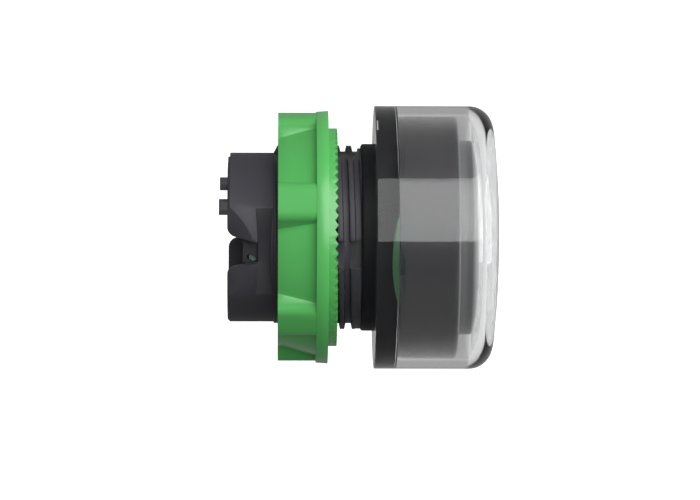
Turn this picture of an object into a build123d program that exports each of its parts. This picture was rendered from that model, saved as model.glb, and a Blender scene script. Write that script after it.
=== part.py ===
from build123d import *
import math
import os

# Illuminated push-button head for a 22 mm panel hole, under a clear sealing boot.
# Millimetres. +X points out of the panel towards the finger and +Z is up.
# The origin is on the push axis, in the plane where the boot meets the panel.
# Angles round the axis count from -Y, the side seen in front, towards +Z.

# Moulded body: bayonet tail, threaded barrel, pilot and front flange
thread_d = 22.0
thread_length = 9.33
lead_in_length = 0.45
tail_step = 0.88
tail_wall = 1.9
tail_length = 5.45
tail_chamfer = 0.3
tail_flat_step = 1.07
tail_flat_length = 0.27
shoulder_step = 0.05
shoulder_length = 0.6
pilot_step = 0.6
pilot_length = 1.65
barrel_wall = 1.8
ledge_thickness = 1.5
ledge_depth = 7.25
flange_wall = 1.2
flange_thickness = 1.9
seat_gap = 0.13

# Slots along the thread
side_slot_width = 3.37
side_slot_depth = 0.7
top_flat_depth = 0.9
top_wall_rear_y = 0.77
top_wall_front_y = -0.6
top_wall_slant_length = 2.05

# Bayonet features of the tail, on its front and back sides
notch_width = 2.6
notch_taper = 10.1
notch_length = 3.65
notch_corner_r = 1.1
ramp_edge_wall = 0.25
ramp_angle = 27.0
pocket_floor_wall = 0.48
pocket_height = 10.5
pocket_end_length = 2.1
pocket_waist_length = 1.53
pocket_overlap = 0.05
lug_low_reach = 0.99
lug_low_side_width = 2.4
lug_low_z = 4.31
lug_low_height = 1.48
lug_low_inset = 1.62
lug_high_reach = 0.89
lug_high_side_width = 1.45
lug_high_z = 6.83
lug_high_height = 1.32
lug_high_inset = 3.92

# Pilot ring of black rubber that centres the head in the panel hole
ring_proud = 0.2
ring_rear_round = 0.35
ring_notch_width = 2.4
ring_notch_depth = 0.4
ring_notch_length = 0.55
ring_notch_setback = 0.14

# Clear boot
boot_wall = 1.2
boot_flange = 2.57
boot_dome_r = 120.0
boot_corner_r = 2.8
boot_ring_fit = 0.05
boot_cap_gap = 0.3

# Dark bezel under the boot
bezel_fit = 0.05
bezel_gap = 0.18
bezel_height = 7.1
bezel_socket_wall = 1.6
bezel_cap_gap = 0.35
bezel_edge_r = 0.7
bezel_mouth_chamfer = 0.5
bezel_rim_length = 0.55
bezel_rim_step = 0.15
bezel_notch_width = 2.25
bezel_notch_depth = 0.6
bezel_notch_z = -0.53
bezel_flange_fit = 0.05

# Seals
bezel_seal_section = 0.9
lip_seal_width = 1.3
lip_seal_depth = 1.6
lip_seal_heel = 0.5
lip_clearance = 0.05
cap_seal_section = 0.7

# Moving group
press_travel = 4.3
press_stop_gap = 0.4
guide_clearance = 0.05
holder_guide_clearance = 0.1
spring_room = 1.8
spigot_step = 0.9
spigot_wall = 1.3
spigot_length = 3.8
guide_length = 6.1
head_step = 1.25
head_thickness = 1.3
flare_length = 8.8
flare_rim = 1.95
pusher_clearance = 0.3
pusher_setback = 2.25
pusher_lip = 0.9
pusher_fit = 0.02
pusher_pad_width = 3.0
pusher_pad_height = 0.4
ledge_play = 0.1
snap_nose_length = 1.1
snap_nose_height = 0.6
snap_nose_tilt = 27.0
snap_nose_play = 0.06
snap_nose_setback = 0.63
snap_nose_z = -0.94
snap_nose_below = 0.25
diffuser_thickness = 0.9
legend_thickness = 0.5
disc_play = 0.2
cap_wall = 1.2
cap_corner_r = 0.9
cap_skirt_overlap = 0.2
cap_head_fit = 0.05

# Return spring
spring_wire_d = 0.8
spring_stem_gap = 0.45
spring_turns = 6
spring_end_play = 0.05

# Fixing nut
nut_rear_gap = 0.08
nut_bore_clearance = 0.05
nut_cone_length = 4.53
nut_cone_wall = 1.95
nut_cone_rise = 1.1
nut_lobe_reach = 0.9
nut_lobe_count = 6
nut_lobe_width = 4.2
nut_lobe_draft = 18.0
nut_lobe_corner_r = 1.2
nut_lobe_angle = 28.0
nut_lobe_root = 1.0
nut_flange_step = 0.04
nut_flange_flare = 0.1
nut_flange_thickness = 1.44
nut_tooth_ring_wall = 2.0
nut_tooth_ring_height = 1.09
nut_tooth_count = 72
nut_tooth_depth = 0.38
nut_tooth_land = 0.05
nut_bore_chamfer = 0.4

# How far a cutter stands past the surface that it opens
cut_over = 1.0

# Radii, worked out from the thread inwards and outwards
thread_r = thread_d / 2
tail_r = thread_r - tail_step
tail_bore_r = tail_r - tail_wall
shoulder_r = thread_r - shoulder_step
pilot_r = thread_r - pilot_step
ring_r = thread_r + ring_proud
barrel_bore_r = thread_r - barrel_wall
lip_seat_r = barrel_bore_r + lip_seal_depth
flange_groove_r = lip_seat_r + flange_wall
bezel_socket_r = flange_groove_r + bezel_seal_section
flange_r = bezel_socket_r - bezel_flange_fit
bezel_r = bezel_socket_r + bezel_socket_wall
boot_cavity_r = bezel_r + bezel_fit
boot_r = boot_cavity_r + boot_wall
guide_r = barrel_bore_r - holder_guide_clearance
stem_r = barrel_bore_r - spring_room
spigot_r = stem_r - spigot_step
stem_bore_r = spigot_r - spigot_wall
head_r = guide_r + head_step
head_socket_r = head_r + cap_head_fit
cap_r = head_socket_r + cap_wall
disc_r = head_socket_r - disc_play
bezel_bore_r = cap_r + bezel_cap_gap
pusher_r = tail_bore_r - pusher_clearance
pusher_bore_r = spigot_r - pusher_lip
spring_r = stem_r + spring_stem_gap + spring_wire_d / 2
nut_bore_r = thread_r + nut_bore_clearance
nut_cone_rear_r = nut_bore_r + nut_cone_wall
nut_cone_front_r = nut_cone_rear_r + nut_cone_rise
nut_lobe_r = nut_cone_front_r + nut_lobe_reach
nut_flange_rear_r = nut_lobe_r + nut_flange_step
nut_flange_front_r = nut_flange_rear_r + nut_flange_flare
nut_tooth_ring_r = nut_bore_r + nut_tooth_ring_wall

# Stations along the axis, worked out from the panel face at zero
pilot_rear_x = -pilot_length
shoulder_rear_x = pilot_rear_x - shoulder_length
thread_rear_x = shoulder_rear_x - thread_length
tail_front_x = thread_rear_x - lead_in_length
tail_rear_x = tail_front_x - tail_length
ledge_front_x = shoulder_rear_x - ledge_depth
ledge_rear_x = ledge_front_x - ledge_thickness
flange_rear_x = boot_flange + seat_gap
flange_front_x = flange_rear_x + flange_thickness
lip_seat_x = flange_front_x - lip_seal_width
bezel_rear_x = boot_flange + bezel_gap
bezel_front_x = bezel_rear_x + bezel_height
cap_skirt_x = flange_front_x + press_stop_gap + press_travel
head_rear_x = cap_skirt_x + cap_skirt_overlap
head_front_x = head_rear_x + head_thickness
diffuser_front_x = head_front_x + diffuser_thickness
cap_inner_x = diffuser_front_x + legend_thickness
cap_front_x = cap_inner_x + cap_wall
boot_cavity_x = cap_front_x + boot_cap_gap
boot_front_x = boot_cavity_x + boot_wall
guide_rear_x = head_rear_x - guide_length
spigot_front_x = ledge_rear_x - ledge_play
spigot_rear_x = spigot_front_x - spigot_length
pusher_rear_x = tail_rear_x + pusher_setback
snap_nose_x = pusher_rear_x + snap_nose_setback
nut_rear_x = thread_rear_x + nut_rear_gap
nut_cone_front_x = nut_rear_x + nut_cone_length
nut_flange_front_x = nut_cone_front_x + nut_flange_thickness
nut_front_x = nut_flange_front_x + nut_tooth_ring_height


def turned(points):
    """A solid of revolution about the push axis from (x, radius) corners."""
    return revolve(Plane.XZ * make_face(Polyline(*points, close=True)), Axis.X)


def domed_plug(rear_x, front_x, radius, dome_r, corner_r):
    """A round plug whose front is a shallow dome with a rounded corner."""

    def dome_x(r):
        return front_x - dome_r + math.sqrt(dome_r**2 - r**2)

    edge_x = dome_x(radius)
    outline = make_face(
        [
            Line((rear_x, 0), (rear_x, radius)),
            Line((rear_x, radius), (edge_x, radius)),
            ThreePointArc((edge_x, radius), (dome_x(radius / 2), radius / 2), (front_x, 0)),
            Line((front_x, 0), (rear_x, 0)),
        ]
    )
    corner = outline.vertices().sort_by_distance((edge_x, radius, 0))[0]
    return revolve(Plane.XZ * fillet(corner, corner_r), Axis.X)


def box_between(low, high):
    """A box from its lowest to its highest corner."""
    size = [b - a for a, b in zip(low, high)]
    middle = [(a + b) / 2 for a, b in zip(low, high)]
    return Pos(*middle) * Box(*size)


def round_bar(rear_x, front_x, radius):
    """A plain cylinder along the push axis."""
    return turned([(rear_x, 0), (rear_x, radius), (front_x, radius), (front_x, 0)])


def ring_of_round_section(middle_x, middle_r, section_d):
    """A seal ring of round section round the push axis."""
    return revolve(Plane.XZ * Pos(middle_x, middle_r) * Circle(section_d / 2), Axis.X)


def rim_edge(ring, x, radius):
    """The round edge of a ring at one station and radius."""
    circles = ring.edges().filter_by(GeomType.CIRCLE)
    return circles.sort_by(lambda e: abs(e.radius - radius) + abs(e.center().X - x))[0]


def tail_ramp():
    """The sloping flat that falls away to the rear, beside the notch."""
    rise = cut_over * math.tan(math.radians(ramp_angle))
    ramp_rear_r = tail_bore_r + ramp_edge_wall
    ramp_end_x = tail_rear_x + (tail_r - ramp_rear_r) / math.tan(math.radians(ramp_angle))
    side = Polyline(
        (tail_rear_x - cut_over, -ramp_rear_r + rise),
        (ramp_end_x + cut_over, -tail_r - rise),
        (ramp_end_x + cut_over, -tail_r - 2 * cut_over),
        (tail_rear_x - cut_over, -tail_r - 2 * cut_over),
        close=True,
    )
    return extrude(make_face(Plane.XY * side), tail_r, both=True)


def notch_outline():
    """The notch in plan: it widens to the rear, with a rounded mouth."""
    front_x = tail_rear_x + notch_length
    over_x = tail_rear_x - cut_over
    half = notch_width / 2
    mouth_half = half + notch_length * math.tan(math.radians(notch_taper))
    over_half = mouth_half + 2 * notch_corner_r
    outline = make_face(
        Polyline(
            (over_x, over_half),
            (tail_rear_x, over_half),
            (tail_rear_x, mouth_half),
            (front_x, half),
            (front_x, -half),
            (tail_rear_x, -mouth_half),
            (tail_rear_x, -over_half),
            (over_x, -over_half),
            close=True,
        )
    )
    mouth = [outline.vertices().sort_by_distance((tail_rear_x, z, 0))[0] for z in (mouth_half, -mouth_half)]
    return fillet(mouth, notch_corner_r)


def pocket_outline():
    """The waisted pocket in plan: straight ends and hollow sides."""
    middle_x = tail_rear_x + notch_length - pocket_overlap + pocket_waist_length / 2
    half_end = pocket_end_length / 2
    half_waist = pocket_waist_length / 2
    half_height = pocket_height / 2
    return make_face(
        [
            Line((middle_x - half_end, half_height), (middle_x + half_end, half_height)),
            ThreePointArc(
                (middle_x + half_end, half_height),
                (middle_x + half_waist, 0),
                (middle_x + half_end, -half_height),
            ),
            Line((middle_x + half_end, -half_height), (middle_x - half_end, -half_height)),
            ThreePointArc(
                (middle_x - half_end, -half_height),
                (middle_x - half_waist, 0),
                (middle_x - half_end, half_height),
            ),
        ]
    )


def tail_cutters():
    """Ramp, notch and waisted pocket of the bayonet, on the -Y side."""
    over_r = tail_r + cut_over
    notch = extrude(Plane.XZ.offset(stem_bore_r) * notch_outline(), over_r - stem_bore_r)
    pocket_floor_r = tail_bore_r + pocket_floor_wall
    pocket = extrude(Plane.XZ.offset(pocket_floor_r) * pocket_outline(), over_r - pocket_floor_r)
    return [tail_ramp(), notch, pocket]


def tail_top_flat():
    """The flat across the top of the tail's rear edge."""
    over_r = tail_r + cut_over
    return box_between(
        (tail_rear_x - cut_over, -over_r, tail_r - tail_flat_step),
        (tail_rear_x + tail_flat_length, over_r, over_r),
    )


def tail_lug(reach, inset, side_width, low_z, height):
    """One keying lug behind the tail, before it is trimmed to the wall."""
    low_y = inset - tail_r
    return box_between(
        (tail_rear_x - reach, low_y, low_z),
        (tail_rear_x + lug_low_reach, low_y + side_width, low_z + height),
    )


def tail_lugs():
    """Two keying lugs behind the tail, trimmed to its wall."""
    low = tail_lug(lug_low_reach, lug_low_inset, lug_low_side_width, lug_low_z, lug_low_height)
    high = tail_lug(lug_high_reach, lug_high_inset, lug_high_side_width, lug_high_z, lug_high_height)
    rear_x = tail_rear_x - lug_low_reach
    front_x = tail_rear_x + lug_low_reach
    wall = round_bar(rear_x, front_x, tail_r - tail_chamfer)
    wall -= round_bar(rear_x - cut_over, front_x + cut_over, tail_bore_r)
    return (low + high) & wall


def thread_slots():
    """Side slots along the thread, and the flat on top with its slanted wall."""
    over_r = thread_r + cut_over
    floor_r = thread_r - side_slot_depth
    half = side_slot_width / 2
    front = box_between((tail_front_x, -over_r, -half), (pilot_rear_x, -floor_r, half))
    back = Rot(X=180) * front
    flat_z = thread_r - top_flat_depth
    plan = Polyline(
        (tail_front_x, -over_r),
        (tail_front_x, top_wall_rear_y),
        (shoulder_rear_x - top_wall_slant_length, top_wall_rear_y),
        (shoulder_rear_x, top_wall_front_y),
        (shoulder_rear_x, over_r),
        (pilot_rear_x, over_r),
        (pilot_rear_x, -over_r),
        close=True,
    )
    top = extrude(Plane.XY.offset(flat_z) * make_face(plan), over_r - flat_z)
    return [front, back, top]


def make_mounting_body():
    """Tail, smooth barrel at the thread's outer size, pilot and front flange."""
    groove_mid_x = (flange_rear_x + flange_front_x) / 2
    groove_rear_x = groove_mid_x - bezel_seal_section / 2
    groove_front_x = groove_mid_x + bezel_seal_section / 2
    ledge_bore_r = stem_r + guide_clearance
    body = turned(
        [
            (tail_rear_x, tail_bore_r),
            (tail_rear_x, tail_r - tail_chamfer),
            (tail_rear_x + tail_chamfer, tail_r),
            (tail_front_x, tail_r),
            (thread_rear_x, thread_r),
            (shoulder_rear_x, thread_r),
            (shoulder_rear_x, shoulder_r),
            (pilot_rear_x, shoulder_r),
            (pilot_rear_x, pilot_r),
            (flange_rear_x, pilot_r),
            (flange_rear_x, flange_r),
            (groove_rear_x, flange_r),
            (groove_rear_x, flange_groove_r),
            (groove_front_x, flange_groove_r),
            (groove_front_x, flange_r),
            (flange_front_x, flange_r),
            (flange_front_x, lip_seat_r),
            (lip_seat_x, lip_seat_r),
            (lip_seat_x, barrel_bore_r),
            (ledge_front_x, barrel_bore_r),
            (ledge_front_x, ledge_bore_r),
            (ledge_rear_x, ledge_bore_r),
            (ledge_rear_x, tail_bore_r),
        ]
    )
    front_cutters = tail_cutters()
    back_cutters = [Rot(X=180) * cutter for cutter in front_cutters]
    return body - front_cutters - back_cutters - tail_top_flat() - thread_slots() + tail_lugs()


def make_centring_ring():
    """Rubber ring on the pilot, with a small key notch at the top."""
    inner_r = pilot_r + boot_ring_fit
    ring = turned(
        [
            (pilot_rear_x, inner_r),
            (pilot_rear_x, ring_r),
            (boot_flange, ring_r),
            (boot_flange, inner_r),
        ]
    )
    ring = fillet(rim_edge(ring, pilot_rear_x, ring_r), ring_rear_round)
    half = ring_notch_width / 2
    notch = box_between(
        (-ring_notch_setback, -half, ring_r - ring_notch_depth),
        (-ring_notch_setback + ring_notch_length, half, ring_r + cut_over),
    )
    return ring - notch


def make_sealing_boot():
    """Clear boot: a domed cup with a thick flange that seals on the panel."""
    outer = domed_plug(0, boot_front_x, boot_r, boot_dome_r, boot_corner_r)
    inner_corner_r = boot_corner_r - boot_wall
    inner = domed_plug(boot_flange, boot_cavity_x, boot_cavity_r, boot_dome_r, inner_corner_r)
    mouth = round_bar(-cut_over, boot_flange + cut_over, ring_r + boot_ring_fit)
    return outer - inner - mouth


def make_bezel():
    """Dark ring pressed on the body's flange, with a stepped rear rim."""
    rim_x = bezel_rear_x + bezel_rim_length
    rim_r = bezel_r - bezel_rim_step
    ring = turned(
        [
            (bezel_rear_x, bezel_socket_r),
            (bezel_rear_x, rim_r),
            (rim_x, rim_r),
            (rim_x, bezel_r),
            (bezel_front_x, bezel_r),
            (bezel_front_x, bezel_bore_r + bezel_mouth_chamfer),
            (bezel_front_x - bezel_mouth_chamfer, bezel_bore_r),
            (flange_front_x, bezel_bore_r),
            (flange_front_x, bezel_socket_r),
        ]
    )
    ring = fillet(rim_edge(ring, bezel_front_x, bezel_r), bezel_edge_r)
    half = bezel_notch_width / 2
    notch = box_between(
        (bezel_rear_x - cut_over, -bezel_r - cut_over, bezel_notch_z - half),
        (rim_x, -bezel_r + bezel_notch_depth, bezel_notch_z + half),
    )
    return ring - notch


def make_bezel_seal():
    """Round-section seal in the groove of the body's flange."""
    middle_x = (flange_rear_x + flange_front_x) / 2
    middle_r = flange_groove_r + bezel_seal_section / 2
    return ring_of_round_section(middle_x, middle_r, bezel_seal_section)


def make_lip_seal():
    """Wiper ring round the lens holder, in the body's front counterbore."""
    lip_r = guide_r + lip_clearance
    return turned(
        [
            (lip_seat_x, lip_r + lip_seal_heel),
            (lip_seat_x, lip_seat_r),
            (flange_front_x, lip_seat_r),
            (flange_front_x, lip_r),
            (flange_front_x - lip_seal_width / 3, lip_r),
        ]
    )


def nut_lobes():
    """Drafted grip lobes with rounded outer corners, from the rear face to the flange."""
    root_u = nut_cone_rear_r - nut_lobe_root
    over_u = nut_lobe_r + cut_over
    slope = math.tan(math.radians(nut_lobe_draft))
    crest_half = nut_lobe_width / 2
    over_half = crest_half - slope * cut_over
    root_half = crest_half + slope * (nut_lobe_r - root_u)
    outline = make_face(
        Polyline(
            (root_u, -root_half),
            (over_u, -over_half),
            (over_u, over_half),
            (root_u, root_half),
            close=True,
        )
    ) & Circle(nut_lobe_r)
    crest_corners = outline.vertices().sort_by(Axis.X)[-2:]
    outline = fillet(crest_corners, nut_lobe_corner_r)
    lobe = extrude(Plane.YZ.offset(nut_rear_x) * outline, nut_cone_length)
    first = 180 - nut_lobe_angle
    step = 360 / nut_lobe_count
    return [Rot(X=first + step * i) * lobe for i in range(nut_lobe_count)]


def nut_tooth_gaps():
    """Radial V gaps, tapering towards the axis, that leave the face teeth."""
    half = math.pi * nut_tooth_ring_r / nut_tooth_count - nut_tooth_land / 2

    def section(radius):
        scale = radius / nut_tooth_ring_r
        plane = Plane(origin=(nut_front_x, radius, 0), x_dir=(1, 0, 0), z_dir=(0, 1, 0))
        return plane * make_face(
            Polyline(
                (-nut_tooth_depth * scale, 0),
                (0, half * scale),
                (nut_tooth_depth * scale, half * scale),
                (nut_tooth_depth * scale, -half * scale),
                (0, -half * scale),
                close=True,
            )
        )

    gap = loft([section(nut_bore_r - cut_over), section(nut_tooth_ring_r + cut_over)], ruled=True)
    return [Rot(X=360 / nut_tooth_count * i) * gap for i in range(nut_tooth_count)]


def make_fixing_nut():
    """Green nut: lobed grip, thin flange and a ring of teeth that bite the panel."""
    core = turned(
        [
            (nut_rear_x, nut_bore_r + nut_bore_chamfer),
            (nut_rear_x, nut_cone_rear_r),
            (nut_cone_front_x, nut_cone_front_r),
            (nut_cone_front_x, nut_flange_rear_r),
            (nut_flange_front_x, nut_flange_front_r),
            (nut_flange_front_x, nut_tooth_ring_r),
            (nut_front_x, nut_tooth_ring_r),
            (nut_front_x, nut_bore_r),
            (nut_rear_x + nut_bore_chamfer, nut_bore_r),
        ]
    )
    bore = round_bar(nut_rear_x - cut_over, nut_front_x + cut_over, nut_bore_r)
    return core + nut_lobes() - nut_tooth_gaps() - bore


def snap_noses(play, inner_r, outer_r):
    """The two slanted noses that hold the pusher on the stem, or their windows."""
    outline = SlotOverall(snap_nose_length + 2 * play, snap_nose_height + 2 * play)
    placed = Plane.XZ.offset(inner_r) * Pos(snap_nose_x, snap_nose_z) * Rot(Z=-snap_nose_tilt) * outline
    front = extrude(placed, outer_r - inner_r)
    return [front, Rot(X=180) * front]


def make_lens_holder():
    """Sliding stem with a guide, a flared light passage and a head for the cap."""
    groove_mid_x = (head_rear_x + head_front_x) / 2
    groove_rear_x = groove_mid_x - cap_seal_section / 2
    groove_front_x = groove_mid_x + cap_seal_section / 2
    groove_r = head_socket_r - cap_seal_section
    holder = turned(
        [
            (spigot_rear_x, stem_bore_r),
            (spigot_rear_x, spigot_r),
            (spigot_front_x, spigot_r),
            (spigot_front_x, stem_r),
            (guide_rear_x, stem_r),
            (guide_rear_x, guide_r),
            (head_rear_x, guide_r),
            (head_rear_x, head_r),
            (groove_rear_x, head_r),
            (groove_rear_x, groove_r),
            (groove_front_x, groove_r),
            (groove_front_x, head_r),
            (head_front_x, head_r),
            (head_front_x, head_r - flare_rim),
            (head_front_x - flare_length, stem_bore_r),
        ]
    )
    noses = snap_noses(0, stem_bore_r + spigot_wall / 2, pusher_r - snap_nose_below)
    reach = round_bar(spigot_rear_x, spigot_front_x, pusher_r)
    return holder + [nose & reach for nose in noses]


def make_pusher():
    """Rear collar snapped on the stem; its four pads press the contact blocks."""
    socket_r = spigot_r + pusher_fit
    pad_rear_x = pusher_rear_x - pusher_pad_height
    collar = turned(
        [
            (pusher_rear_x, pusher_bore_r),
            (pusher_rear_x, pusher_r),
            (spigot_front_x, pusher_r),
            (spigot_front_x, socket_r),
            (spigot_rear_x, socket_r),
            (spigot_rear_x, pusher_bore_r),
        ]
    )
    rim = round_bar(pad_rear_x, pusher_rear_x, pusher_r)
    rim -= round_bar(pad_rear_x, pusher_rear_x, pusher_bore_r)
    half = pusher_pad_width / 2
    bar = box_between((pad_rear_x, -half, -pusher_r), (pusher_rear_x, half, pusher_r))
    pads = rim & (bar + Rot(X=90) * bar)
    return collar + pads - snap_noses(snap_nose_play, spigot_r, pusher_r + cut_over)


def make_lens_cap():
    """White cap: a shallow domed cup that clips over the holder's head."""
    outer = domed_plug(cap_skirt_x, cap_front_x, cap_r, boot_dome_r, cap_corner_r)
    return outer - round_bar(cap_skirt_x - cut_over, cap_inner_x, head_socket_r)


def make_cap_seal():
    """Round-section seal between the head and the cap."""
    middle_x = (head_rear_x + head_front_x) / 2
    middle_r = head_socket_r - cap_seal_section / 2
    return ring_of_round_section(middle_x, middle_r, cap_seal_section)


def make_return_spring():
    """Compression spring round the stem, from the body's ledge to the guide."""
    wire_r = spring_wire_d / 2
    length = guide_rear_x - ledge_front_x - spring_wire_d - 2 * spring_end_play
    coil = Helix(pitch=length / spring_turns, height=length, radius=spring_r)
    section = Plane(origin=coil @ 0, z_dir=coil % 0) * Circle(wire_r)
    spring = sweep(section, path=coil, is_frenet=True)
    return Pos(ledge_front_x + spring_end_play + wire_r, 0, 0) * Rot(Y=90) * spring


def main():
    os.makedirs("parts", exist_ok=True)
    pieces = {
        "mounting_body": make_mounting_body(),
        "centring_ring": make_centring_ring(),
        "sealing_boot": make_sealing_boot(),
        "bezel": make_bezel(),
        "bezel_seal": make_bezel_seal(),
        "lip_seal": make_lip_seal(),
        "fixing_nut": make_fixing_nut(),
        "lens_holder": make_lens_holder(),
        "pusher": make_pusher(),
        "lens_cap": make_lens_cap(),
        "cap_seal": make_cap_seal(),
        "diffuser": round_bar(head_front_x, diffuser_front_x, disc_r),
        "legend_disc": round_bar(diffuser_front_x, cap_inner_x, disc_r),
        "return_spring": make_return_spring(),
    }
    for name, shape in pieces.items():
        export_step(shape, f"parts/{name}.step")


main()
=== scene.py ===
import math

import bmesh
import bpy
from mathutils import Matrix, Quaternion, Vector
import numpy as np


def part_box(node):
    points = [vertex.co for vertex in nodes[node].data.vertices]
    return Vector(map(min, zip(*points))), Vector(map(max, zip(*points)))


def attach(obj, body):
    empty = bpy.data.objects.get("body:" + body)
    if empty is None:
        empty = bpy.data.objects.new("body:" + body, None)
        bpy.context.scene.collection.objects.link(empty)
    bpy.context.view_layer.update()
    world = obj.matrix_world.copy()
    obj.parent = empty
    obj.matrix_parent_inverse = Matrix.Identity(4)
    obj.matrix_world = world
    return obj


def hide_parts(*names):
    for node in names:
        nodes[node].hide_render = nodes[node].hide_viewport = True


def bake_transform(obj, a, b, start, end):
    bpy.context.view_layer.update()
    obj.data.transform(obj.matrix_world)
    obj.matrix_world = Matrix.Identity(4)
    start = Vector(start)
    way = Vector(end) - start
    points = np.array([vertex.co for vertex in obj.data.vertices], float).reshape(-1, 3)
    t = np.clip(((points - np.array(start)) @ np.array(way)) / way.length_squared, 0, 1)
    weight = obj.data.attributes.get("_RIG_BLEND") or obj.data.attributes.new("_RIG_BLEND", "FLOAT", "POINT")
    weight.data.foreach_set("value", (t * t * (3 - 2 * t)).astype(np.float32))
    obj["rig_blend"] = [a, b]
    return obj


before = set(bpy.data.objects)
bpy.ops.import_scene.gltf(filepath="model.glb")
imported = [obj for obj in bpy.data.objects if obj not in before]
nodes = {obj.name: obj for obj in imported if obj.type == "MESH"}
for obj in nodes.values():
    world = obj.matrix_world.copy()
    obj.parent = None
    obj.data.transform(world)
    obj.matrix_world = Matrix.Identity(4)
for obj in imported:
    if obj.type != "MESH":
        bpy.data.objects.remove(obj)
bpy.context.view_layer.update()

mm = 0.001
scene = bpy.context.scene
scene.view_settings.view_transform = "Standard"


def report(stage):
    print("push-button head:", stage)


# places along the push axis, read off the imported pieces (millimetres)
def span(node, axis=0):
    low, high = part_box(node)
    return low[axis] / mm, high[axis] / mm


bodyRear = span("mounting_body")[0]
bootRear, bootFront = span("sealing_boot")
bezelRear = span("bezel")[0]
capFront = span("lens_cap")[1]
bootR, bezelR, ringR = (span(node, 1)[1] for node in ("sealing_boot", "bezel", "centring_ring"))


# helpers for meshes
def meshObject(name, mesh):
    thing = bpy.data.objects.new(name, mesh)
    scene.collection.objects.link(thing)
    return thing


def roundedOutline(corners, steps=6):
    # corners are (x, r) or (x, r, rounding) in millimetres, in order round a closed section
    points = []
    count = len(corners)
    for i, corner in enumerate(corners):
        here = Vector(corner[:2])
        rounding = corner[2] if len(corner) > 2 else 0
        if not rounding:
            points.append(here)
            continue
        back = (Vector(corners[i - 1][:2]) - here).normalized()
        ahead = (Vector(corners[(i + 1) % count][:2]) - here).normalized()
        half = back.angle(ahead) / 2
        centre = here + (back + ahead).normalized() * (rounding / math.sin(half))
        first = here + back * (rounding / math.tan(half)) - centre
        last = here + ahead * (rounding / math.tan(half)) - centre
        turn = first.angle_signed(last)
        for k in range(steps + 1):
            a = -turn * k / steps
            swung = Vector((first.x * math.cos(a) - first.y * math.sin(a),
                            first.x * math.sin(a) + first.y * math.cos(a)))
            points.append(centre + swung)
    return points


def finishMesh(bm, name):
    bmesh.ops.recalc_face_normals(bm, faces=bm.faces)
    mesh = bpy.data.meshes.new(name)
    bm.to_mesh(mesh)
    bm.free()
    return mesh


def smoothByAngle(mesh, degrees):
    mesh.shade_smooth()
    mesh.set_sharp_from_angle(angle=math.radians(degrees))


copies = dict(weld=0.002, flatAngle=0.4)


def cadCopy(node, name, wholeFlats=True):
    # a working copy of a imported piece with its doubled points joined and, where asked, its flats made whole
    mesh = nodes[node].data.copy()
    mesh.name = name
    mesh.materials.clear()
    bm = bmesh.new()
    bm.from_mesh(mesh)
    bmesh.ops.remove_doubles(bm, verts=bm.verts, dist=copies["weld"] * mm)
    if wholeFlats:
        bmesh.ops.dissolve_limit(bm, angle_limit=math.radians(copies["flatAngle"]), verts=bm.verts,
                                 edges=bm.edges, use_dissolve_boundaries=False)
    bm.to_mesh(mesh)
    bm.free()
    for attribute in [a.name for a in mesh.attributes if a.name == "custom_normal"]:
        mesh.attributes.remove(mesh.attributes[attribute])
    return meshObject(name, mesh)


def applyModifiers(thing):
    evaluated = thing.evaluated_get(bpy.context.evaluated_depsgraph_get())
    mesh = bpy.data.meshes.new_from_object(evaluated)
    thing.modifiers.clear()
    thing.data = mesh
    return thing


def cutAway(thing, cutter):
    cut = thing.modifiers.new("cut", "BOOLEAN")
    cut.operation = "DIFFERENCE"
    cut.solver = "EXACT"
    cut.object = cutter
    applyModifiers(thing)
    bpy.data.objects.remove(cutter)


def softenEdges(thing, width, steps=2, degrees=28):
    # the small roundings that a mould leaves on every edge
    soft = thing.modifiers.new("moulded edges", "BEVEL")
    soft.width = width * mm
    soft.segments = steps
    soft.limit_method = "ANGLE"
    soft.angle_limit = math.radians(degrees)
    soft.use_clamp_overlap = True
    soft.miter_outer = "MITER_ARC"
    applyModifiers(thing)
    smoothByAngle(thing.data, 32)


# helpers for materials
def newGroup(name, inputs, outputs):
    tree = bpy.data.node_groups.new(name, "ShaderNodeTree")
    for label, kind, value in inputs:
        socket = tree.interface.new_socket(label, in_out="INPUT", socket_type=kind)
        socket.default_value = value
    for label, kind in outputs:
        tree.interface.new_socket(label, in_out="OUTPUT", socket_type=kind)
    return tree, tree.nodes.new("NodeGroupInput"), tree.nodes.new("NodeGroupOutput")


def addNode(tree, kind, **settings):
    node = tree.nodes.new(kind)
    for key, value in settings.items():
        setattr(node, key, value)
    return node


def feed(tree, socket, value):
    # a number or a colour is set on the socket itself, and anything else is linked to it
    if isinstance(value, (int, float)):
        socket.default_value = value
    elif isinstance(value, tuple):
        socket.default_value = (*value, 1.0)
    else:
        tree.links.new(value, socket)


def mathNode(tree, operation, a, b=None, clamp=False):
    node = addNode(tree, "ShaderNodeMath", operation=operation, use_clamp=clamp)
    feed(tree, node.inputs[0], a)
    if b is not None:
        feed(tree, node.inputs[1], b)
    return node.outputs[0]


def noiseNode(tree, coords, scale, detail, roughness):
    node = addNode(tree, "ShaderNodeTexNoise")
    tree.links.new(coords, node.inputs["Vector"])
    feed(tree, node.inputs["Scale"], scale)
    node.inputs["Detail"].default_value = detail
    node.inputs["Roughness"].default_value = roughness
    return node.outputs["Fac"]


def spread(tree, value, low, high, outLow=0.0, outHigh=1.0):
    node = addNode(tree, "ShaderNodeMapRange", clamp=True)
    tree.links.new(value, node.inputs["Value"])
    for label, number in (("From Min", low), ("From Max", high), ("To Min", outLow), ("To Max", outHigh)):
        node.inputs[label].default_value = number
    return node.outputs["Result"]


def mixColours(tree, factor, a, b, kind="MIX"):
    node = addNode(tree, "ShaderNodeMix", data_type="RGBA", blend_type=kind)
    for socket, value in ((node.inputs[0], factor), (node.inputs[6], a), (node.inputs[7], b)):
        feed(tree, socket, value)
    return node.outputs[2]


def objectCoords(tree):
    return addNode(tree, "ShaderNodeTexCoord").outputs["Object"]


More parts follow.
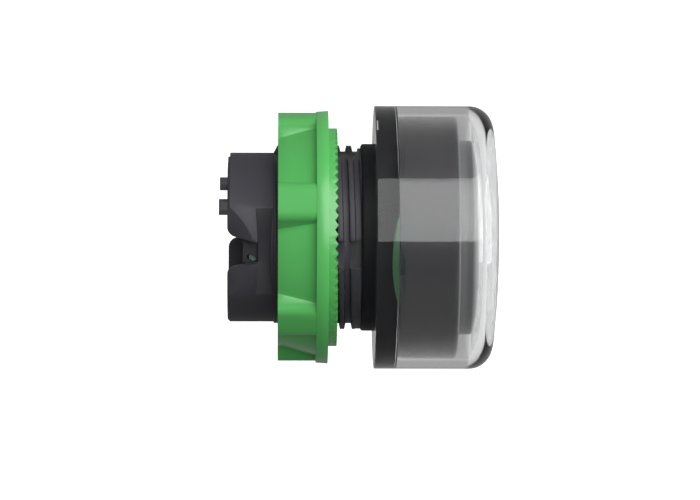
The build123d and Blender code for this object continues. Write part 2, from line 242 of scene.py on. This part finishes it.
def newMaterial(name):
    material = bpy.data.materials.new(name)
    material.use_nodes = True
    tree = material.node_tree
    return material, tree, tree.nodes["Principled BSDF"]


def addBump(tree, shader, height, strength, depth):
    bump = addNode(tree, "ShaderNodeBump")
    bump.inputs["Strength"].default_value = strength
    bump.inputs["Distance"].default_value = depth * mm
    tree.links.new(height, bump.inputs["Height"])
    tree.links.new(bump.outputs[0], shader.inputs["Normal"])


# moulded grain: fine surface grain with slow drifts of tone and gloss
grainShape = dict(toneScale=140.0, toneSwing=4.0, glossScale=420.0, glossSwing=2.0)


def makeMouldedGrain():
    tree, given, out = newGroup(
        "moulded grain",
        [("Colour", "NodeSocketColor", (0.5, 0.5, 0.5, 1)),
         ("Tone Drift", "NodeSocketFloat", 0.06),
         ("Roughness", "NodeSocketFloat", 0.4),
         ("Gloss Drift", "NodeSocketFloat", 0.08),
         ("Grain Scale", "NodeSocketFloat", 3500.0)],
        [("Colour", "NodeSocketColor"), ("Roughness", "NodeSocketFloat"), ("Height", "NodeSocketFloat")])
    coords = objectCoords(tree)
    slow = noiseNode(tree, coords, grainShape["toneScale"], 4.0, 0.55)
    drift = mathNode(tree, "SUBTRACT", slow, 0.5)
    tone = mathNode(tree, "MULTIPLY", drift, given.outputs["Tone Drift"])
    lift = mathNode(tree, "ADD", mathNode(tree, "MULTIPLY", tone, grainShape["toneSwing"]), 1.0)
    grey = addNode(tree, "ShaderNodeCombineColor")
    for socket in grey.inputs:
        tree.links.new(lift, socket)
    tree.links.new(mixColours(tree, 1.0, given.outputs["Colour"], grey.outputs[0], "MULTIPLY"),
                   out.inputs["Colour"])
    fine = noiseNode(tree, coords, given.outputs["Grain Scale"], 3.0, 0.6)
    patch = noiseNode(tree, coords, grainShape["glossScale"], 3.0, 0.5)
    gloss = mathNode(tree, "MULTIPLY", mathNode(tree, "SUBTRACT", patch, 0.5), given.outputs["Gloss Drift"])
    gloss = mathNode(tree, "MULTIPLY", gloss, grainShape["glossSwing"])
    gloss = mathNode(tree, "ADD", gloss, given.outputs["Roughness"], True)
    tree.links.new(gloss, out.inputs["Roughness"])
    tree.links.new(fine, out.inputs["Height"])
    return tree


# edge wear: a broken line of rubbed plastic along outer edges
wearShape = dict(ridge=(0.53, 0.62), breakScale=900.0, breaks=(0.42, 0.66), polish=0.12)


def makeEdgeWear():
    tree, given, out = newGroup(
        "edge wear",
        [("Colour", "NodeSocketColor", (0.5, 0.5, 0.5, 1)),
         ("Worn Colour", "NodeSocketColor", (0.7, 0.7, 0.7, 1)),
         ("Roughness", "NodeSocketFloat", 0.4),
         ("Amount", "NodeSocketFloat", 0.3)],
        [("Colour", "NodeSocketColor"), ("Roughness", "NodeSocketFloat")])
    geometry = addNode(tree, "ShaderNodeNewGeometry")
    ridge = spread(tree, geometry.outputs["Pointiness"], *wearShape["ridge"])
    patches = noiseNode(tree, objectCoords(tree), wearShape["breakScale"], 4.0, 0.65)
    mask = mathNode(tree, "MULTIPLY", ridge, spread(tree, patches, *wearShape["breaks"]))
    mask = mathNode(tree, "MULTIPLY", mask, given.outputs["Amount"], True)
    tree.links.new(mixColours(tree, mask, given.outputs["Colour"], given.outputs["Worn Colour"]),
                   out.inputs["Colour"])
    rubbed = mathNode(tree, "MULTIPLY", mask, wearShape["polish"])
    polished = mathNode(tree, "SUBTRACT", given.outputs["Roughness"], rubbed, True)
    tree.links.new(polished, out.inputs["Roughness"])
    return tree


# dust: sparse specks and a thin haze on what faces up
dustShape = dict(facing=(0.1, 0.95), speckScale=2600.0, specks=(0.66, 0.72), hazeScale=260.0,
                 haze=(0.35, 0.75), hazeShare=0.5, colour=(0.62, 0.6, 0.57), dulls=0.8)


def makeDust():
    tree, given, out = newGroup(
        "settled dust",
        [("Colour", "NodeSocketColor", (0.5, 0.5, 0.5, 1)),
         ("Roughness", "NodeSocketFloat", 0.4),
         ("Amount", "NodeSocketFloat", 0.05)],
        [("Colour", "NodeSocketColor"), ("Roughness", "NodeSocketFloat")])
    geometry = addNode(tree, "ShaderNodeNewGeometry")
    split = addNode(tree, "ShaderNodeSeparateXYZ")
    tree.links.new(geometry.outputs["Normal"], split.inputs[0])
    upward = spread(tree, split.outputs["Z"], *dustShape["facing"])
    coords = objectCoords(tree)
    specks = noiseNode(tree, coords, dustShape["speckScale"], 2.0, 0.5)
    specks = spread(tree, specks, *dustShape["specks"])
    haze = noiseNode(tree, coords, dustShape["hazeScale"], 5.0, 0.6)
    haze = mathNode(tree, "MULTIPLY", spread(tree, haze, *dustShape["haze"]), dustShape["hazeShare"])
    cover = mathNode(tree, "ADD", haze, specks, True)
    cover = mathNode(tree, "MULTIPLY", cover, upward)
    cover = mathNode(tree, "MULTIPLY", cover, given.outputs["Amount"], True)
    tree.links.new(mixColours(tree, cover, given.outputs["Colour"], dustShape["colour"]),
                   out.inputs["Colour"])
    duller = mathNode(tree, "MULTIPLY", cover, dustShape["dulls"])
    tree.links.new(mathNode(tree, "ADD", given.outputs["Roughness"], duller, True), out.inputs["Roughness"])
    return tree


mouldedGrain = makeMouldedGrain()
edgeWear = makeEdgeWear()
settledDust = makeDust()


def useGroup(tree, group, **values):
    node = addNode(tree, "ShaderNodeGroup", node_tree=group)
    for label, value in values.items():
        feed(tree, node.inputs[label.replace("_", " ")], value)
    return node


def plasticMaterial(name, look):
    # one recipe for every moulded piece; look is that finish's own dictionary
    material, tree, shader = newMaterial(name)
    grain = useGroup(tree, mouldedGrain, Colour=look["colour"], Tone_Drift=look["toneDrift"],
                     Roughness=look["roughness"], Gloss_Drift=look["glossDrift"],
                     Grain_Scale=look["grainScale"])
    worn = useGroup(tree, edgeWear, Colour=grain.outputs["Colour"], Worn_Colour=look["wornColour"],
                    Roughness=grain.outputs["Roughness"], Amount=look["wear"])
    dusty = useGroup(tree, settledDust, Colour=worn.outputs["Colour"], Roughness=worn.outputs["Roughness"],
                     Amount=look["dust"])
    tree.links.new(dusty.outputs["Colour"], shader.inputs["Base Color"])
    tree.links.new(dusty.outputs["Roughness"], shader.inputs["Roughness"])
    addBump(tree, shader, grain.outputs["Height"], look["bump"], look["grainDepth"])
    for label, value in look.get("shader", {}).items():
        shader.inputs[label].default_value = value
    return material


def coat(thing, material):
    thing.data.materials.clear()
    thing.data.materials.append(material)


def paintNode(name, material):
    thing = nodes[name]
    if not thing.material_slots:
        thing.data.materials.append(material)
    for place in thing.material_slots:
        place.link = "OBJECT"
        place.material = material


# finishes
bodyLook = dict(colour=(0.040, 0.038, 0.046), toneDrift=0.02, roughness=0.5, glossDrift=0.02,
                grainScale=7000.0, wornColour=(0.16, 0.155, 0.17), wear=0.0, dust=0.01,
                bump=0.1, grainDepth=0.008, shader={"Specular IOR Level": 0.25})
nutLook = dict(colour=(0.070, 0.345, 0.082), toneDrift=0.02, roughness=0.30, glossDrift=0.03,
               grainScale=7000.0, wornColour=(0.22, 0.56, 0.24), wear=0.0, dust=0.02,
               bump=0.1, grainDepth=0.008)
rubberLook = dict(colour=(0.011, 0.011, 0.013), toneDrift=0.05, roughness=0.5, glossDrift=0.08,
                  grainScale=2600.0, wornColour=(0.03, 0.03, 0.03), wear=0.1, dust=0.01,
                  bump=0.1, grainDepth=0.008, shader={"Specular IOR Level": 0.08})
# this colour is the bezel's painted paler front face; along the push axis the rest is brought down to a fifth
# of it
bezelLook = dict(colour=(0.250, 0.245, 0.260), toneDrift=0.04, roughness=0.4, glossDrift=0.05,
                 grainScale=4200.0, wornColour=(0.12, 0.12, 0.125), wear=0.0, dust=0.0,
                 bump=0.0, grainDepth=0.01, shader={"Specular IOR Level": 0.42})
whiteLook = dict(colour=(0.76, 0.76, 0.74), toneDrift=0.01, roughness=0.38, glossDrift=0.05,
                 grainScale=4200.0, wornColour=(0.85, 0.85, 0.84), wear=0.0, dust=0.0,
                 bump=0.15, grainDepth=0.01)
# painted shade: the white holder is coloured dark grey-green for the dark pocket it sits in
holderLook = dict(colour=(0.10, 0.125, 0.12), toneDrift=0.02, roughness=0.42, glossDrift=0.05,
                  grainScale=4200.0, wornColour=(0.2, 0.22, 0.22), wear=0.0, dust=0.0,
                  bump=0.1, grainDepth=0.008)
capLook = dict(colour=(0.84, 0.85, 0.85), toneDrift=0.003, roughness=0.28, glossDrift=0.015,
               grainScale=4200.0, wornColour=(0.9, 0.9, 0.9), wear=0.0, dust=0.0,
               bump=0.1, grainDepth=0.008,
               shader={"Subsurface Weight": 0.35, "Subsurface Scale": 0.0015,
                       "Subsurface Radius": (1.0, 1.0, 1.0)})
steelLook = dict(colour=(0.55, 0.54, 0.52), toneDrift=0.05, roughness=0.28, glossDrift=0.1,
                 grainScale=6000.0, wornColour=(0.7, 0.7, 0.68), wear=0.2, dust=0.0,
                 bump=0.2, grainDepth=0.006, shader={"Metallic": 1.0})

bodyPlastic = plasticMaterial("dark body plastic", bodyLook)
greenPlastic = plasticMaterial("green nut plastic", nutLook)
blackRubber = plasticMaterial("black seal rubber", rubberLook)
bezelPlastic = plasticMaterial("dark bezel plastic with painted light", bezelLook)
whitePlastic = plasticMaterial("white diffuser plastic", whiteLook)
holderPlastic = plasticMaterial("holder plastic in painted shade", holderLook)
capPlastic = plasticMaterial("milky cap plastic with painted shade", capLook)
springSteel = plasticMaterial("drawn spring wire", steelLook)

clearLook = dict(colour=(0.78, 0.782, 0.785), ior=1.41, roughness=0.03, smear=0.02, smearScale=190.0,
                 smears=(0.4, 0.8), rippleScale=60.0, ripple=0.01, rippleDepth=0.004, glare=0.72)


def makeClearSilicone():
    material, tree, shader = newMaterial("clear boot silicone")
    shader.inputs["Base Color"].default_value = (*clearLook["colour"], 1.0)
    shader.inputs["Transmission Weight"].default_value = 1.0
    shader.inputs["IOR"].default_value = clearLook["ior"]
    shader.inputs["Specular Tint"].default_value = (*[clearLook["glare"]] * 3, 1.0)
    coords = objectCoords(tree)
    smear = spread(tree, noiseNode(tree, coords, clearLook["smearScale"], 5.0, 0.6), *clearLook["smears"],
                   clearLook["roughness"], clearLook["roughness"] + clearLook["smear"])
    tree.links.new(smear, shader.inputs["Roughness"])
    ripples = noiseNode(tree, coords, clearLook["rippleScale"], 2.0, 0.4)
    addBump(tree, shader, ripples, clearLook["ripple"], clearLook["rippleDepth"])
    return material


# painted shade and light along the push axis: places in millimetres with the share of the colour left at each
capPaintedShade = ((10.4, 0.24), (11.0, 0.15), (11.5, 0.15), (13.0, 1.0))
ringPaintedLight = ((-0.1, 0.36), (0.3, 1.0))
bezelPaintedLight = ((9.55, 0.2), (9.8, 1.0))


def shadeAlong(material, stops):
    # painted shade and light: the cap's skirt is painted darker towards the bezel as shade; the ring's front
    # and the bezel's front face, both under the clear boot, are painted paler than the rest of their pieces
    # as light
    tree = material.node_tree
    shader = tree.nodes["Principled BSDF"]
    colour = shader.inputs["Base Color"].links[0].from_socket
    split = addNode(tree, "ShaderNodeSeparateXYZ")
    tree.links.new(objectCoords(tree), split.inputs[0])
    ramp = addNode(tree, "ShaderNodeValToRGB")
    first, last = stops[0][0], stops[-1][0]
    tree.links.new(spread(tree, split.outputs["X"], first * mm, last * mm), ramp.inputs[0])
    for _ in stops[2:]:
        ramp.color_ramp.elements.new(0.5)
    for element, (x, level) in zip(ramp.color_ramp.elements, stops):
        element.position = (x - first) / (last - first)
        element.color = (level, level, level, 1.0)
    tree.links.new(mixColours(tree, 1.0, colour, ramp.outputs[0], "MULTIPLY"), shader.inputs["Base Color"])


# painted light: the ring's rubber is lifted, and its front under the clear boot is painted paler than its
# rear
ringRubber = plasticMaterial("ring rubber with painted light", dict(rubberLook, colour=(0.031, 0.031, 0.034)))
# painted shade on the cap's skirt
shadeAlong(capPlastic, capPaintedShade)
shadeAlong(ringRubber, ringPaintedLight)
shadeAlong(bezelPlastic, bezelPaintedLight)
clearSilicone = makeClearSilicone()
report("finishes ready")


# mounting body with its thread
thread = dict(pitch=1.43, crest=0.54, root=0.60, crestR=11.0, rootR=10.3, phase=-0.5,
              rearX=bodyRear + 6.4, frontX=-1.35, over=0.35, clear=0.1, runOut=20, edge=0.04,
              segments=120)


def helixCutter(spec):
    # a band of trapezoid section wound round the barrel; what it takes away is the groove
    crestHalf = (spec["pitch"] - spec["crest"]) / 2
    rootHalf = spec["root"] / 2
    over = spec["over"]
    slope = (crestHalf - rootHalf) / (spec["crestR"] - spec["rootR"])
    section = [(-rootHalf, spec["rootR"]), (-crestHalf - slope * over, spec["crestR"] + over),
               (crestHalf + slope * over, spec["crestR"] + over), (rootHalf, spec["rootR"])]
    startX = spec["rearX"] - spec["pitch"]
    stopX = spec["frontX"] - crestHalf
    turns = (stopX - startX) / spec["pitch"]
    steps = int(turns * spec["segments"])
    bm = bmesh.new()
    rings = []
    for k in range(steps + 1):
        along = k / spec["segments"]
        a = 2 * math.pi * along + spec["phase"]
        x = startX + along * spec["pitch"]
        # the groove lifts clear of the crest over its last steps
        lift = max(0.0, 1 - (steps - k) / spec["runOut"])
        lift *= spec["crestR"] - spec["rootR"] + spec["clear"]
        # right-handed: the groove moves forward as it comes down the near side
        ring = [((x + dx) * mm, -(r + lift) * mm * math.cos(a), -(r + lift) * mm * math.sin(a))
                for dx, r in section]
        rings.append([bm.verts.new(point) for point in ring])
    for ring, after in zip(rings, rings[1:]):
        for i in range(4):
            m = (i + 1) % 4
            bm.faces.new((ring[i], ring[m], after[m], after[i]))
    bm.faces.new(rings[0])
    bm.faces.new(reversed(rings[-1]))
    return meshObject("groove", finishMesh(bm, "groove"))


threadedBody = cadCopy("mounting_body", "threaded_body")
cutAway(threadedBody, helixCutter(thread))
softenEdges(threadedBody, thread["edge"])
coat(threadedBody, bodyPlastic)
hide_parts("mounting_body")
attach(threadedBody, "root")
report("threaded body")


# green nut
nutEdges = dict(rounding=0.07, steps=2)
greenNut = cadCopy("fixing_nut", "green_nut", wholeFlats=False)
softenEdges(greenNut, nutEdges["rounding"], nutEdges["steps"])
coat(greenNut, greenPlastic)
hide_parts("fixing_nut")
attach(greenNut, "nut")
report("nut")


# clear boot: smooth turned cup that gives as the cap is pushed
boot = dict(domeR=120.0, cornerR=2.8, wall=1.2, cling=0.02, slit=0.06, giveX=8.3, edge=0.12,
            hold=0.06, cornerSteps=18, domeSteps=26, segments=256)


def domeRun(frontX, radius, cornerR):
    # points from the side wall round the corner and over the dome to the axis
    domeR, cornerSteps, domeSteps = boot["domeR"], boot["cornerSteps"], boot["domeSteps"]
    cornerCentreR = radius - cornerR
    domeCentreX = frontX - domeR
    reach = domeR - cornerR
    cornerCentreX = domeCentreX + math.sqrt(reach ** 2 - cornerCentreR ** 2)
    tilt = math.asin(cornerCentreR / reach)
    points = []
    for k in range(cornerSteps + 1):
        a = math.pi / 2 - (math.pi / 2 - tilt) * k / cornerSteps
        points.append((cornerCentreX + cornerR * math.cos(a), cornerCentreR + cornerR * math.sin(a)))
    for k in range(1, domeSteps + 1):
        a = tilt * (1 - k / domeSteps)
        points.append((domeCentreX + domeR * math.cos(a), domeR * math.sin(a)))
    return points


def makeBootMesh():
    outer = domeRun(bootFront, bootR, boot["cornerR"])
    wallR = bootR - boot["wall"]
    mouthR = ringR - boot["cling"]         # the silicone grips the ring and rests on the cap
    flangeX = bezelRear - boot["slit"]
    innerX = capFront - boot["cling"]
    inner = domeRun(innerX, wallR, boot["cornerR"] - boot["wall"])
    base = roundedOutline([
        (outer[0][0], bootR), (outer[0][0] - boot["hold"], bootR),
        (bootRear + boot["edge"] + boot["hold"], bootR), (bootRear, bootR, boot["edge"]),
        (bootRear, mouthR, boot["edge"]), (flangeX, mouthR, boot["edge"]),
        (flangeX, wallR), (inner[0][0] - boot["hold"], wallR), (inner[0][0], wallR)])
    base = [tuple(p) for p in base]
    section = outer[::-1][1:] + base[1:-1] + inner[:-1]
    bm = bmesh.new()
    segments = boot["segments"]
    rings = [[bm.verts.new((x * mm, -r * mm * math.cos(a), r * mm * math.sin(a)))
              for a in (2 * math.pi * k / segments for k in range(segments))] for x, r in section]
    for ring, other in zip(rings, rings[1:]):
        for k in range(segments):
            m = (k + 1) % segments
            bm.faces.new((ring[k], ring[m], other[m], other[k]))
    for ring, x in ((rings[0], bootFront), (rings[-1], innerX)):
        tip = bm.verts.new((x * mm, 0, 0))
        for k in range(segments):
            bm.faces.new((ring[k], ring[(k + 1) % segments], tip))
    mesh = finishMesh(bm, "clear_boot")
    smoothByAngle(mesh, 40)
    return mesh


clearBoot = meshObject("clear_boot", makeBootMesh())
coat(clearBoot, clearSilicone)
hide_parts("sealing_boot")
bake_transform(clearBoot, "root", "plunger", start=(boot["giveX"] * mm, 0, 0), end=(bootFront * mm, 0, 0))
report("boot")


# painted reflection: a green crescent sheet at the bezel's rear rim, shown through the boot's flange where
# the green nut's reflection falls, with a pale edge as painted highlight
sheetShape = dict(halfAngle=21.5, depth=0.80, rim=0.11, thickness=0.1, lift=0.1, gap=0.01, lead=0.03,
           steps=48)
reflectionLook = dict(nutLook, colour=(0.032, 0.100, 0.042))
rimHighlightLook = dict(nutLook, colour=(0.45, 0.48, 0.46))


def makeReflectionSheet():
    r = (bezelR + sheetShape["lift"]) * mm
    front = bezelRear - boot["slit"] - sheetShape["gap"]
    bm = bmesh.new()
    columns = []
    for k in range(sheetShape["steps"] + 1):
        s = 2 * k / sheetShape["steps"] - 1
        a = math.radians(sheetShape["halfAngle"]) * s
        edge = front - sheetShape["lead"] - sheetShape["depth"] * (1 - s * s)
        rows = (front, min(edge + sheetShape["rim"], front - sheetShape["gap"]), edge)
        columns.append([bm.verts.new((x * mm, -r * math.cos(a), r * math.sin(a))) for x in rows])
    for column, after in zip(columns, columns[1:]):
        for i in range(2):
            face = bm.faces.new((column[i], column[i + 1], after[i + 1], after[i]))
            face.material_index = i
    thing = meshObject("nut_reflection_sheet", finishMesh(bm, "nut_reflection_sheet"))
    sheet = thing.modifiers.new("sheet", "SOLIDIFY")
    sheet.thickness = sheetShape["thickness"] * mm
    return applyModifiers(thing)


reflectionSheet = makeReflectionSheet()
coat(reflectionSheet, plasticMaterial("painted green nut reflection", reflectionLook))
# the sheet's pale edge is a painted highlight
reflectionSheet.data.materials.append(plasticMaterial("painted pale rim highlight", rimHighlightLook))
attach(reflectionSheet, "root")
report("painted nut reflection")


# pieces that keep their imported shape
for name, material in {
    "centring_ring": ringRubber, "bezel": bezelPlastic, "bezel_seal": blackRubber,
    "lip_seal": blackRubber, "lens_holder": holderPlastic, "pusher": bodyPlastic,
    "lens_cap": capPlastic, "cap_seal": blackRubber, "diffuser": whitePlastic,
    "legend_disc": capPlastic,
}.items():
    paintNode(name, material)

# return spring: a copy that closes up between the ledge and the guide
spring = cadCopy("return_spring", "wire_spring")
springRear, springFront = span("return_spring")
smoothByAngle(spring.data, 60)
coat(spring, springSteel)
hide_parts("return_spring")
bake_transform(spring, "root", "plunger", start=(springRear * mm, 0, 0), end=(springFront * mm, 0, 0))
report("inner pieces")


# stage
camera = dict(acrossX=-12.22, distance=510.0, rise=11.18, turn=1.074, tilt=11.349, roll=0.347,
              lens=218.86)
stage = dict(floorZ=-60.0, floorSize=6.0, floorColour=(0.8, 0.8, 0.8), floorGlow=0.7,
             ambient=0.35, roomFront=0.03, roomBack=0.36, roomFalloff=1.4, throughLevel=0.17,
             throughTop=0.75, throughSides=0.78, topRange=(0.5, 0.8), sideRange=(0.05, 0.22))


def makeFloor():
    half = stage["floorSize"] / 2
    mesh = bpy.data.meshes.new("floor")
    z = stage["floorZ"] * mm
    corners = [(-half, -half, z), (half, -half, z), (half, half, z), (-half, half, z)]
    mesh.from_pydata(corners, [], [(0, 1, 2, 3)])
    floor = meshObject("studio_floor", mesh)
    material, tree, shader = newMaterial("pale floor")
    shader.inputs["Base Color"].default_value = (*stage["floorColour"], 1.0)
    shader.inputs["Roughness"].default_value = 0.9
    shader.inputs["Specular IOR Level"].default_value = 0.0
    shader.inputs["Emission Color"].default_value = (1, 1, 1, 1)
    path = addNode(tree, "ShaderNodeLightPath")
    seen = mathNode(tree, "MAXIMUM", path.outputs["Is Glossy Ray"], path.outputs["Is Transmission Ray"])
    seen = mathNode(tree, "MAXIMUM", path.outputs["Is Camera Ray"], seen)
    glow = mathNode(tree, "MULTIPLY", seen, stage["floorGlow"])
    tree.links.new(glow, shader.inputs["Emission Strength"])
    mesh.materials.append(material)
    floor.visible_glossy = False        # the floor only shows to the lens; the world lights the head
    floor.visible_transmission = False
    floor.visible_diffuse = False


def makeWorld():
    world = bpy.data.worlds.new("white studio")
    scene.world = world
    world.use_nodes = True
    tree = world.node_tree
    background = tree.nodes["Background"]
    background.inputs["Color"].default_value = (1, 1, 1, 1)
    path = addNode(tree, "ShaderNodeLightPath")
    rise = math.radians(camera["rise"])
    direction = addNode(tree, "ShaderNodeTexCoord").outputs["Generated"]

    def along(*axis):
        dot = addNode(tree, "ShaderNodeVectorMath", operation="DOT_PRODUCT")
        tree.links.new(direction, dot.inputs[0])
        dot.inputs[1].default_value = axis
        return dot.outputs["Value"]

    # reflections see a room that is lighter behind the head than in front of it
    behind = mathNode(tree, "MAXIMUM", along(0.0, math.cos(rise), -math.sin(rise)), 0.0)
    behind = mathNode(tree, "POWER", behind, stage["roomFalloff"])
    room = spread(tree, behind, 0.0, 1.0, stage["roomFront"], stage["roomBack"])
    # what shows through the silicone is darker straight behind than to the sides, above and below
    height = mathNode(tree, "ABSOLUTE", along(0.0, math.sin(rise), math.cos(rise)))
    level = spread(tree, height, *stage["topRange"], stage["throughLevel"], stage["throughTop"])
    across = mathNode(tree, "ABSOLUTE", along(1.0, 0.0, 0.0))
    sides = spread(tree, across, *stage["sideRange"], 0.0, stage["throughSides"])
    through = mathNode(tree, "MAXIMUM", level, sides)

    parts = [path.outputs["Is Camera Ray"],
             mathNode(tree, "MULTIPLY", path.outputs["Is Glossy Ray"], room),
             mathNode(tree, "MULTIPLY", path.outputs["Is Transmission Ray"], through),
             mathNode(tree, "MULTIPLY", path.outputs["Is Diffuse Ray"], stage["ambient"])]
    total = parts[0]
    for part in parts[1:]:
        total = mathNode(tree, "ADD", total, part)
    tree.links.new(total, background.inputs["Strength"])


softbox = dict(distance=0.8, rise=36.0, turn=20.0, size=(0.75, 0.85), power=9.6)
sideLight = dict(distance=0.8, rise=12.0, turn=78.0, size=(0.5, 0.7), power=6.0)


def makeLight(name, light):
    data = bpy.data.lights.new(name, "AREA")
    data.shape = "RECTANGLE"
    data.size, data.size_y = light["size"]
    data.energy = light["power"]
    lamp = bpy.data.objects.new(name, data)
    scene.collection.objects.link(lamp)
    rise, turn = math.radians(light["rise"]), math.radians(light["turn"])
    level = light["distance"] * math.cos(rise)
    place = Vector((level * math.sin(turn), -level * math.cos(turn), light["distance"] * math.sin(rise)))
    lamp.location = place
    lamp.rotation_euler = (-place).to_track_quat("-Z", "Y").to_euler()


def makeCamera():
    data = bpy.data.cameras.new("product camera")
    data.lens = camera["lens"]
    data.sensor_width = 36.0
    data.clip_start, data.clip_end = 0.01, 20.0
    rig = bpy.data.objects.new("product camera", data)
    scene.collection.objects.link(rig)
    rise, turn, tilt, roll = (math.radians(camera[key]) for key in ("rise", "turn", "tilt", "roll"))
    rig.location = (camera["acrossX"] * mm, -camera["distance"] * math.cos(rise) * mm,
                    camera["distance"] * math.sin(rise) * mm)
    looking = Vector((math.sin(turn) * math.cos(tilt), math.cos(turn) * math.cos(tilt), -math.sin(tilt)))
    rig.rotation_euler = (looking.to_track_quat("-Z", "Y") @ Quaternion((0, 0, 1), roll)).to_euler()
    scene.camera = rig


makeFloor()
makeWorld()
makeLight("front softbox", softbox)
makeLight("side light", sideLight)
makeCamera()
report("stage, lights and camera")
